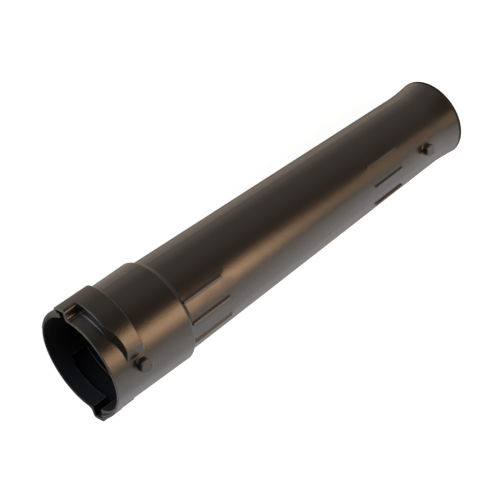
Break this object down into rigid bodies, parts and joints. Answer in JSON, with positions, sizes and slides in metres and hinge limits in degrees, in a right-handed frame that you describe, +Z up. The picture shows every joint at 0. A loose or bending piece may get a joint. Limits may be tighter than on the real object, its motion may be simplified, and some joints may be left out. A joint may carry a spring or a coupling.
{
  "type": "blower pipe",
  "caption": "Tapered black plastic blower pipe with a turn-to-lock collar, studs and ribs, and a flared outlet.",
  "frame": {"origin": "on the surface that the pipe lies on, below the middle of its box", "axes": "+X from the collar's mouth to the outlet, +Z up. The pipe's own axis leans 1.9 degrees down towards the outlet, as the pipe comes to rest, and stays in the plane of X and Z"},
  "size_m": [0.4022, 0.0928, 0.0941],
  "materials": {
    "black_plastic": "satin moulded surface with a very fine grain, near black with a soft sheen"
  },
  "bodies": {
    "root": {"pipe": "black_plastic"}
  },
  "joints": []
}
